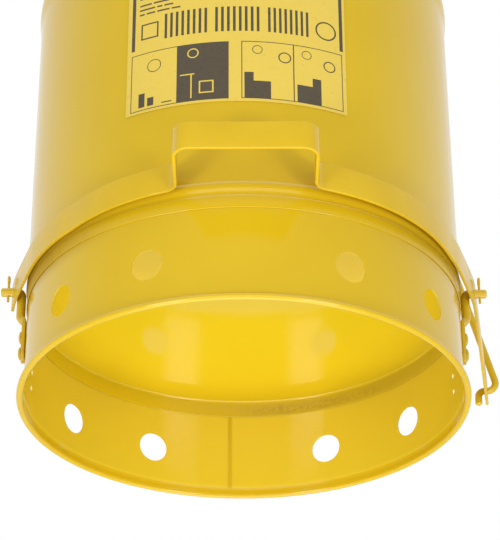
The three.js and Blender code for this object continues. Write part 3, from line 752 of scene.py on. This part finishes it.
def stud(side):
    """A bar bent into an L whose leg is forged flat into a tail with a round end."""
    low, high = corners_of("pivot_stud_right" if side > 0 else "pivot_stud_left")
    y = PINS[side].y
    tail_x = RING_RADIUS + TAIL_GAP + TAIL_THICK / 2
    end_x = max(abs(high.x), abs(low.x)) - 0.02 * MM
    line = bent([(end_x, y, PIVOT.z), (LEG_X, y, PIVOT.z), (LEG_X, y, SHOULDER_TOP)], STUD_BEND)
    stations = [(line[0] - Vector((back, 0, 0)), r, r, 2) for r, back in round_end(STUD_RADIUS)]
    stations += [(p, STUD_RADIUS, STUD_RADIUS, 2) for p in line[1:]]
    for k in range(1, 13):
        t = smooth_step(k / 12)
        place = Vector((between(LEG_X, tail_x, t), y, between(SHOULDER_TOP, SHOULDER_LOW, k / 12)))
        thick = between(STUD_RADIUS, TAIL_THICK / 2, t)
        wide = between(STUD_RADIUS, TAIL_HALF, t)
        stations.append((place, thick, wide, 2 + 4 * t))
    centre_z = low.z + TAIL_HALF
    for k in range(1, 5):
        place = Vector((tail_x, y, between(SHOULDER_LOW, centre_z, k / 4)))
        stations.append((place, TAIL_THICK / 2, TAIL_HALF, 6))
    for k in range(1, 12):
        t = pi / 2 * k / 11.3
        place = Vector((tail_x, y, centre_z - TAIL_HALF * sin(t)))
        stations.append((place, TAIL_THICK / 2 * (1 - 0.25 * (k / 11) ** 4), TAIL_HALF * cos(t), 6))
    places = [station[0] for station in stations]
    rings = []
    for i, (place, thick, wide, power) in enumerate(stations):
        across = heading(places, i).cross(Vector((0, 1, 0))).normalized()
        ring_points = []
        for j in range(40):
            t = 2 * pi * j / 40
            u = copysign(abs(cos(t)) ** (2 / power) * thick, cos(t))
            v = copysign(abs(sin(t)) ** (2 / power) * wide, sin(t))
            corner = place + across * u + Vector((0, v, 0))
            ring_points.append(Vector((corner.x * side, corner.y, corner.z)))
        rings.append(ring_points if side < 0 else ring_points[::-1])
    return lofted("stud_right" if side > 0 else "stud_left", rings, 50)


def rivet(name, node, head, height):
    """A domed rivet where the CAD has one; the proportions of its box say which way its head looks."""
    low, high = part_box(node)
    middle = middle_of(node)
    size = high - low
    if abs(size.x - size.z) > 0.5 * MM and abs(size.y - size.z) < 0.5 * MM:
        facing = Vector((1 if middle.x > 0 else -1, 0, 0))
    elif abs(size.y - size.z) > 0.2 * MM:
        facing = Vector((0, 1, 0))
    else:
        facing = Vector((0, 0, 1))
    turn = facing.to_track_quat("Z", "Y").to_matrix().to_4x4()
    place = Matrix.Translation(middle) @ turn
    top = abs(size.dot(facing)) / 2
    base = top - height
    grip = 1.6 * MM - top
    shank = head * 0.42
    dome = [(head * cos(radians(a)), base + height * sin(radians(a))) for a in range(0, 91, 9)]
    dome[-1] = (0, top)
    tail = rounded([(0, -top), (head * 0.62, -top), (head * 0.73, grip)], [0, 0.8 * MM, 0])
    profile = tail + [(shank, grip), (shank, base), (head - 0.2 * MM, base)] + dome[1:]
    return turned(name, profile, 40, 50, place)


def hairpin(name, place):
    """A split pin: a half-round wire doubled on itself, so that its two legs make one round pin."""
    wire, eye, eye_z = 1.12 * MM, 3.4 * MM, 13 * MM
    tip, sides = -9.6 * MM, 12

    def half_round(at, outward):
        across = Vector((1, 0, 0))
        turns = [pi * k / sides for k in range(sides + 1)]
        return [at + across * wire * cos(t) + outward * wire * 0.96 * sin(t) for t in turns]

    def leg(side, tip_z, tip_spread):
        places = [(tip_z, tip_spread), (tip / 2, 0.08), (0, 0.06), (-tip * 0.7, 0.06)]
        return [half_round(Vector((0, side * out * MM, z)), Vector((0, side, 0))) for z, out in places]

    rings = leg(1, tip, 0.45)
    for k in range(33):
        turn = radians(-72 + 324 * k / 32)
        out = Vector((0, cos(turn), sin(turn)))
        rings.append(half_round(Vector((0, 0, eye_z)) + out * (eye - wire * 0.5), out))
    rings += leg(-1, tip + 0.5 * MM, 0.3)[::-1]
    return lofted(name, [[place @ p for p in ring] for ring in rings], 50)


for side_name, side in (("left", -1), ("right", 1)):
    coat(stud(side), "hardware", "can", f"pivot_stud_{side_name}")
    pin_place = Matrix.Translation((PINS[side].x, PINS[side].y, PIVOT.z))
    coat(hairpin(f"split_pin_{side_name}", pin_place), "hardware", "can", f"pivot_cotter_{side_name}")
    for level in ("upper", "lower"):
        node = f"stud_rivet_{side_name}_{level}"
        coat(rivet(f"tail_rivet_{side_name}_{level}", node, *TAIL_RIVET), "hardware", "can", node)
        node = f"bracket_rivet_{side_name}_{level}"
        coat(rivet(f"back_rivet_{side_name}_{level}", node, *SMALL_RIVET), "hardware", "can", node)

for node in ("strap_rivet_left", "strap_rivet_right", "lug_rivet_inner", "lug_rivet_outer"):
    coat(rivet(f"lid_{node}", node, *SMALL_RIVET), "hardware", "lid", node)

# ---------- Push rod ----------

rod_low, rod_high = corners_of("push_rod")
ROD_PIN = middle_of("rod_cotter")
ROD_TOP_Z = rod_high.z - ROD_RADIUS
ROD_TOP_X = 158 * MM
ROD_HOOK_X = 235 * MM  # below, the rod's end hangs down inside the arm
ROD_BENDS = [6.5 * MM, 9 * MM, 7 * MM]


def push_rod():
    """A round rod: hooked through the lever's arm below and through the lid's lug above."""
    out_x = rod_high.x - ROD_RADIUS
    corners = [
        (ROD_HOOK_X, ROD_FOOT.y, rod_low.z),
        (ROD_HOOK_X, ROD_FOOT.y, ROD_FOOT.z),
        (out_x + 0.5 * MM, ROD_FOOT.y, ROD_FOOT.z),
        (ROD_TOP_X, ROD_PIN.y, ROD_TOP_Z),
        (rod_low.x, ROD_PIN.y, ROD_TOP_Z),
    ]
    return bar("push_rod_bar", bent(corners, ROD_BENDS), ROD_RADIUS, 32)


coat(push_rod(), "hardware", "push_rod", "push_rod")
pin_place = Matrix.Translation((ROD_PIN.x, ROD_PIN.y, ROD_TOP_Z))
coat(hairpin("split_pin_rod", pin_place), "steel", "push_rod", "rod_cotter")

# ---------- Lid and hinge ----------


def lid():
    """Shallow domed lid: crown, step, flat edge, rounded shoulder and a skirt with a rolled hem."""
    wall = 0.8 * MM
    inner, flat = 202.9 * MM, 490.8 * MM
    outer = inner + wall
    crown, dome = lid_high.z, 158 * MM
    fall = 14 * MM
    cap = [(dome * k / 24, crown - fall * (k / 24) ** 2) for k in range(25)]
    step = [(dome + k * MM, between(crown - fall, flat, smooth_step(k / 10))) for k in range(1, 11)]
    top = cap + step + [(184 * MM, flat)]
    shoulder = arc(outer - 3 * MM, flat - 3 * MM, 3 * MM, 90, 0, 8)
    hem = arc(outer - 0.1 * MM, lid_low.z + 1.75 * MM, 1.5 * MM, 80, -90, 10)
    inside = arc(outer - 3 * MM, flat - 3 * MM, 2.2 * MM, 0, 90, 8)
    under = [(r, z - wall) for r, z in top[::-1]]
    return turned("domed_lid", top + shoulder + hem + [(inner, lid_low.z + 0.25 * MM)] + inside + under)


coat(lid(), "lid", "lid", "lid_shell")

HINGE_PLATE = 2.4 * MM
PIN_HOLE = 3.3 * MM
LUG_HOLE = 7.5 * MM  # oversize, so that the push rod's top can move in it
SIDEWAYS = Matrix(((0, 0, 1), (1, 0, 0), (0, 1, 0)))  # an outline in Y and Z, pushed along X
FLAT = Matrix.Identity(3)


def with_pin_hole(piece):
    reach = Vector((40 * MM, 0, 0))
    middle = Vector((0, HINGE.y, HINGE.z))
    return combine(piece, [rod_between("drill", middle - reach, middle + reach, PIN_HOLE)])


def ears(outline, half):
    """Two upright plates, one at each side of the hinge."""
    lefts = (-half, half - HINGE_PLATE)
    return [plate("ear", outline, left, left + HINGE_PLATE, SIDEWAYS) for left in lefts]


def lid_strap():
    """A plate on the lid's flat edge with two ears that hang down behind the can to the hinge pin."""
    low, high = corners_of("lid_strap")
    top, half = high.z, high.x
    outline = rounded(block(-half, half, low.y, high.y), [7 * MM, 7 * MM, 2 * MM, 2 * MM], 8)
    made = plate("hinge_strap", outline, top - HINGE_PLATE, top, FLAT)
    front, end = HINGE.y - 5.6 * MM, 5.6 * MM
    ear = [(front, top - 0.3 * MM), (front, HINGE.z)] + arc(HINGE.y, HINGE.z, end, 180, 360, 16)[1:]
    ear += [(high.y - 0.2 * MM, top - 6 * MM), (high.y - 0.2 * MM, top - 0.3 * MM)]
    combine(made, ears(ear, half), "UNION")
    return with_pin_hole(made)


def lid_lug():
    """A foot riveted to the lid, and a web that reaches over the skirt and down to the push rod."""
    low, high = corners_of("lid_lug")
    thick = 3 * MM
    eye = 12.4 * MM
    hole = Vector((high.y - eye, low.z + eye))
    base = lid_high.z - 22.9 * MM  # the foot stands just clear of the lid's flat edge
    outline = rounded([(low.y, base), (low.y + 30 * MM, base), (low.y + 34 * MM, base - 6 * MM),
                       (hole.x - eye, hole.y)], [0.5 * MM, 2 * MM, 3 * MM, 0], 5)
    outline += arc(hole.x, hole.y, eye, 180, 405, 30)[1:]
    outline += rounded([(low.y + 44 * MM, high.z - 6 * MM), (low.y + 34 * MM, high.z),
                        (low.y + 10 * MM, high.z), (low.y, high.z - 6 * MM)], 5 * MM, 5)
    made = plate("rod_lug", outline, high.x - thick, high.x, SIDEWAYS)
    foot = rounded(block(low.x, high.x - 0.2 * MM, low.y + 0.1 * MM, low.y + 12 * MM),
                   [4 * MM, 0.5 * MM, 0.5 * MM, 4 * MM], 6)
    combine(made, [plate("foot", foot, base, base + HINGE_PLATE, FLAT)], "UNION")
    place = Vector((high.x - thick / 2, hole.x, hole.y))
    across = Vector((DRILL_REACH, 0, 0))
    return combine(made, [rod_between("drill", place - across, place + across, LUG_HOLE)])


def hinge_bracket():
    """A back plate on the can, two ears that hold the hinge pin, and a bridge that stops the lid."""
    low, high = corners_of("hinge_bracket")
    half, back = high.x, low.y
    stop_back = high.y
    stop = stop_back - HINGE_PLATE
    ear_top, plate_top = high.z - 10 * MM, low.z + 36 * MM
    ear = rounded([(back, low.z), (back + 4 * MM, low.z), (stop_back, high.z - 24 * MM), (stop_back, high.z),
                   (stop, high.z), (HINGE.y + 6 * MM, ear_top), (HINGE.y - 5.4 * MM, ear_top),
                   (HINGE.y - 5.4 * MM, low.z + 40 * MM), (back, plate_top)],
                  [0, 1 * MM, 5 * MM, 1 * MM, 0.5 * MM, 3 * MM, 2 * MM, 2 * MM, 0.5 * MM], 5)
    outline = rounded(block(-half, half, low.z, plate_top), [2 * MM, 2 * MM, 1 * MM, 1 * MM], 5)
    upright = Matrix(((1, 0, 0), (0, 0, 1), (0, 1, 0)))
    made = plate("hinge_back", outline, back, back + HINGE_PLATE, upright)
    bridge = rounded(block(-half, half, high.z - 18 * MM, high.z), 1 * MM, 4)
    combine(made, ears(ear, half) + [plate("bridge", bridge, stop, stop_back, upright)], "UNION")
    return with_pin_hole(made)


def hinge_pin():
    """A headed pin with a slightly rounded end."""
    low, high = corners_of("hinge_pin")
    radius, head = 3 * MM, 5 * MM
    length = high.x - low.x
    profile = [(0, 0), (head - 0.8 * MM, 0), (head, 0.8 * MM), (head, 2.6 * MM), (head - 0.4 * MM, 3 * MM),
               (radius, 3 * MM), (radius, length - 0.7 * MM), (radius - 0.7 * MM, length), (0, length)]
    turn = Vector((1, 0, 0)).to_track_quat("Z", "Y").to_matrix().to_4x4()
    return turned("lid_pin", profile, 48, 40, Matrix.Translation((low.x, HINGE.y, HINGE.z)) @ turn)


coat(lid_strap(), "hardware", "lid", "lid_strap")
coat(lid_lug(), "hardware", "lid", "lid_lug")
coat(hinge_bracket(), "hardware", "can", "hinge_bracket")
coat(hinge_pin(), "steel", "can", "hinge_pin")
pin_place = Matrix.Translation((middle_of("hinge_pin_cotter").x, HINGE.y, HINGE.z))
coat(hairpin("split_pin_hinge", pin_place @ Matrix.Rotation(radians(-90), 4, "X")), "steel", "can",
     "hinge_pin_cotter")

# ---------- Label ----------

LABEL_RADIUS = 198.75 * MM
LABEL_LEFT, LABEL_RIGHT = -107.4, 93.8  # millimetres along the film
LABEL_TILT = 0.8  # degrees that the film was stuck on askew, its right side lower
LABEL_SLOPE = tan(radians(LABEL_TILT))
LABEL_BOTTOM = label_low.z / MM + LABEL_RIGHT * LABEL_SLOPE + 0.2
LABEL_TOP = label_high.z / MM + LABEL_LEFT * LABEL_SLOPE - 0.2
FILM_THICK = 0.2 * MM


def box_outline(left, right, low, high, line=0.8):
    return [
        (left, right, low, low + line), (left, right, high - line, high),
        (left, left + line, low, high), (right - line, right, low, high),
    ]


def stroke_row(left, right, low, high, count, weight=0.46):
    """Plain upright strokes in a row, which stand in for a heading."""
    pitch = (right - left) / (count - 1 + weight)
    return [(left + k * pitch, left + k * pitch + weight * pitch, low, high) for k in range(count)]


def dash_rows(left, right, low, rows, pitch=5.0, height=1.7):
    """Rows of short dashes, which stand in for small text."""
    marks = []
    for row in range(rows):
        base = low + row * pitch
        place, k = left, 0
        while place < right - 7 * ((row * 2) % 3):
            length = 5 + 3.4 * ((k * 5 + row * 3) % 4)
            marks.append((place, min(place + length, right), base, base + height))
            place += length + 2
            k += 1
    return marks


# Blocks of the print: left, right, bottom and top, in millimetres along and up the film.
INK = [(-103.0, -99.6, 263.6, 368), (88.0, 91.3, 262.4, 368), (-103.0, 91.3, 364.6, 368)]
for left, right in ((-70.6, -31.6), (-24.4, 14.6), (22.2, 58.6)):
    INK += stroke_row(left, right, 269.6, 296.4, 8)
INK += dash_rows(-95.5, -56, 300.6, 3)
INK += dash_rows(-95.5, -8, 318, 8)
INK += dash_rows(2, 84, 318, 8)
INK += box_outline(-102.6, -12.4, 198.2, 258.6) + [(-58.6, -12.4, 198.2, 258.6)]
INK += box_outline(-1.4, 90.2, 198.4, 258.8) + [(44.0, 45.0, 198.4, 258.8)]
INK += box_outline(-93.5, -76.5, 273.4, 290.4, 1.5)
INK += [(1.2, 24.2, 198.4, 217), (47.4, 69.4, 198.4, 217), (1.2, 9.2, 217, 226), (61.4, 69.4, 217, 226)]
INK += [(-94.6, -88.6, 201.4, 216), (-86, -80, 201.4, 210), (-72.4, -63, 201.4, 202.6)]
PALE = box_outline(-38.5, -25.5, 205.5, 218.5, 1.3) + [(-55.5, -42.5, 226, 227.2), (-46, -44.8, 201.4, 226)]
# Rings of the print: middle along and up the film, radius and line width.
RINGS = [(75.0, 280.0, 9.2, 1.5), (-80, 243, 6.3, 0.8), (12.6, 250, 4.2, 0.7), (36.6, 243.4, 5.2, 1.1),
         (56.4, 249.6, 4.2, 0.7), (77.6, 242, 5.2, 1.1)]
PALE_RINGS = [(-44, 248.6, 4.6, 1.1)]


def ring_mask(look, rings):
    """1 on the plain rings of the print; places are read from the film's own coordinates."""
    along, up = look.split(look.add("UVMap").outputs["UV"])[0:2]
    mask = 0.0
    for x, z, radius, width in rings:
        away = look.length(look.math("SUBTRACT", along, x), look.math("SUBTRACT", up, z))
        mask = look.math("MAXIMUM", look.math("COMPARE", away, radius, width / 2), mask)
    return mask


def print_material(name, ground, ground_worn, mark, rings):
    """Printed film: a worn ground colour with plain rings in the other colour."""
    look = Look(name)
    base = look.mix(look.ramp(look.noise(420, 4, 0.6), 0.25, 0.75), ground, ground_worn)
    look.set(Base_Color=look.mix(ring_mask(look, rings), base, mark))
    look.set(Roughness=look.ramp(look.noise(120, 3), 0.3, 0.7, 0.26, 0.36))
    look.set(Normal=look.bump(look.noise(260, 3), 0.06, 0.0004))
    look.set(IOR=1.45)
    return look.material


FILM, WORN_FILM = (0.78, 0.580, 0.095, 1), (0.75, 0.545, 0.082, 1)
PRINT_INK, WORN_INK = linear(78, 70, 56), linear(92, 82, 64)


def cuts(low, high, places, step):
    """Marks from low to high at each given place, with more between so that no gap is over the step."""
    marks = sorted({round(m, 3) for m in places if low < m < high} | {low, high})
    out = []
    for a, b in zip(marks, marks[1:]):
        count = max(1, int((b - a) / step + 0.999))
        out += [between(a, b, k / count) for k in range(count)]
    return out + [high]


def label():
    """The film: a thin curved sheet whose faces follow the print's blocks, so that each has clean edges."""
    blocks = INK + PALE
    xs = cuts(LABEL_LEFT, LABEL_RIGHT, [v for p in blocks for v in p[:2]], 3.0)
    zs = cuts(LABEL_BOTTOM, LABEL_TOP, [v for p in blocks for v in p[2:]], 20.0)
    wide = len(xs)
    back = wide * len(zs)
    verts, faces, inks = [], [], []
    for r in (LABEL_RADIUS, LABEL_RADIUS - FILM_THICK):
        for z in zs:
            for x in xs:
                turn = x * MM / LABEL_RADIUS
                verts.append((r * sin(turn), -r * cos(turn), (z - x * LABEL_SLOPE) * MM))

    def inside(x, z, areas):
        return any(p[0] < x < p[1] and p[2] < z < p[3] for p in areas)

    for j in range(len(zs) - 1):
        for i in range(wide - 1):
            a = j * wide + i
            x, z = (xs[i] + xs[i + 1]) / 2, (zs[j] + zs[j + 1]) / 2
            faces.append([a, a + 1, a + 1 + wide, a + wide])
            inks.append(inside(x, z, INK) and not inside(x, z, PALE))
            faces.append([back + a, back + a + wide, back + a + 1 + wide, back + a + 1])
            inks.append(False)
    loop = list(range(wide)) + [j * wide + wide - 1 for j in range(1, len(zs))]
    loop += [(len(zs) - 1) * wide + i for i in range(wide - 2, -1, -1)]
    loop += [j * wide for j in range(len(zs) - 2, 0, -1)]
    for a, b in zip(loop, loop[1:] + loop[:1]):
        faces.append([b, a, back + a, back + b])
        inks.append(False)
    made = add_object("front_label", verts, faces)
    paper = print_material("label_film", FILM, WORN_FILM, PRINT_INK, RINGS)
    dress(made, paper, "can", ["label_film"])
    made.data.materials.append(print_material("label_ink", PRINT_INK, WORN_INK, FILM, PALE_RINGS))
    layer = made.data.uv_layers.new(name="UVMap")
    for face, is_ink in zip(made.data.polygons, inks):
        face.material_index = 1 if is_ink else 0
        for index in face.loop_indices:
            v = made.data.vertices[made.data.loops[index].vertex_index].co - AXIS
            along = atan2(v.x, -v.y) * LABEL_RADIUS / MM
            layer.data[index].uv = (along, v.z / MM + along * LABEL_SLOPE)


label()

# ---------- Floor, light and camera ----------


def floor():
    """A pale floor that shows only from above, so the low camera looks past it at the backdrop."""
    half = 6
    mesh = bpy.data.meshes.new("floor")
    corners = [(x, y, FLOOR - 0.05 * MM) for x, y in block(-half, half, -half, half)]
    mesh.from_pydata(corners, [], [[0, 1, 2, 3]])
    piece = linked("floor", mesh)
    look = Look("floor")
    look.set(Base_Color=(0.86, 0.86, 0.85, 1), Roughness=0.7)
    from_below = look.add("NewGeometry").outputs["Backfacing"]
    clear = look.add("BsdfTransparent").outputs["BSDF"]
    either = look.add("MixShader")
    look.fill(either.inputs, from_below, look.shader.outputs["BSDF"], clear)
    look.fill([look.tree.nodes["Material Output"].inputs["Surface"]], either.outputs["Shader"])
    mesh.materials.append(look.material)
    for ray in ("diffuse", "glossy", "shadow", "transmission"):
        setattr(piece, "visible_" + ray, False)


# How bright the room is: level and above it in front and behind, below it, straight down and straight up.
ROOM_FRONT, ROOM_BACK = 0.43, 0.93
BELOW_FRONT, BELOW_BACK = 0.49, 0.62
NADIR, ZENITH = 3.1, 1.8


def sky():
    """White backdrop for the camera; the light comes from a soft room, brighter behind, above and below."""
    world = bpy.data.worlds.new("studio")
    bpy.context.scene.world = world
    world.use_nodes = True
    air = Nodes(world.node_tree)
    _, y, z = air.split(air.add("TexCoord").outputs["Generated"])
    upper = air.ramp(y, -0.45, 0.5, ROOM_FRONT, ROOM_BACK, "SMOOTHSTEP")
    lower = air.ramp(y, -0.2, 0.8, BELOW_FRONT, BELOW_BACK, "SMOOTHSTEP")
    level = air.blend(air.ramp(z, -0.2, 0.12, 0, 1, "SMOOTHSTEP"), lower, upper)
    with_floor = air.blend(air.ramp(z, -0.93, -0.83, 1, 0, "SMOOTHSTEP"), level, NADIR)
    total = air.blend(air.ramp(z, 0.75, 0.92, 0, 1, "SMOOTHSTEP"), with_floor, ZENITH)
    seen = air.add("LightPath").outputs["Is Camera Ray"]
    back = air.tree.nodes["Background"].inputs
    air.fill([back["Color"], back["Strength"]], (1, 1, 1, 1), air.blend(seen, total, 1.0))


SOFTBOX_DISTANCE = 3.0


def softbox(name, azimuth, elevation, wide, tall, level):
    """A soft box that looks at the can, `level` times as bright as white paper; all angles in degrees."""
    turn, rise = radians(azimuth), radians(elevation)
    way = Vector((sin(turn) * cos(rise), -cos(turn) * cos(rise), sin(rise)))
    light = bpy.data.lights.new(name, "AREA")
    light.shape = "RECTANGLE"
    light.size = 2 * SOFTBOX_DISTANCE * tan(radians(wide) / 2)
    light.size_y = 2 * SOFTBOX_DISTANCE * tan(radians(tall) / 2)
    light.energy = level * pi * light.size * light.size_y
    lamp = linked(name, light)
    lamp.location = AXIS + Vector((0, 0, 150 * MM)) + way * SOFTBOX_DISTANCE
    lamp.rotation_euler = (-way).to_track_quat("-Z", "Y").to_euler()
    lamp.visible_camera = False


CAMERA_PLACE = Vector((0.33, -1686.85, -825.76)) * MM
CAMERA_PITCH, CAMERA_YAW, CAMERA_ROLL = radians(29.85), radians(0.19), radians(-0.26)
CAMERA_LENS = 139.83


def camera():
    """The viewpoint: low in front of the can, looking up at its underside."""
    data = bpy.data.cameras.new("camera")
    data.sensor_width = 36
    data.lens = CAMERA_LENS
    data.clip_end = 50
    made = linked("camera", data)
    place = Matrix.Translation(CAMERA_PLACE + AXIS + Vector((0, 0, FLOOR)))
    for angle, line in ((-CAMERA_YAW, "Z"), (pi / 2 + CAMERA_PITCH, "X"), (CAMERA_ROLL, "Z")):
        place = place @ Matrix.Rotation(angle, 4, line)
    made.matrix_world = place
    bpy.context.scene.camera = made


floor()
sky()
softbox("left_strip", -36.5, -31.4, 16, 10, 14)
softbox("right_strip", 36.5, -31.4, 16, 10, 14)
softbox("front_fill", 0, -9, 90, 36, 1.08)
camera()
bpy.context.scene.view_settings.view_transform = "Standard"
bpy.context.scene.view_settings.look = "None"
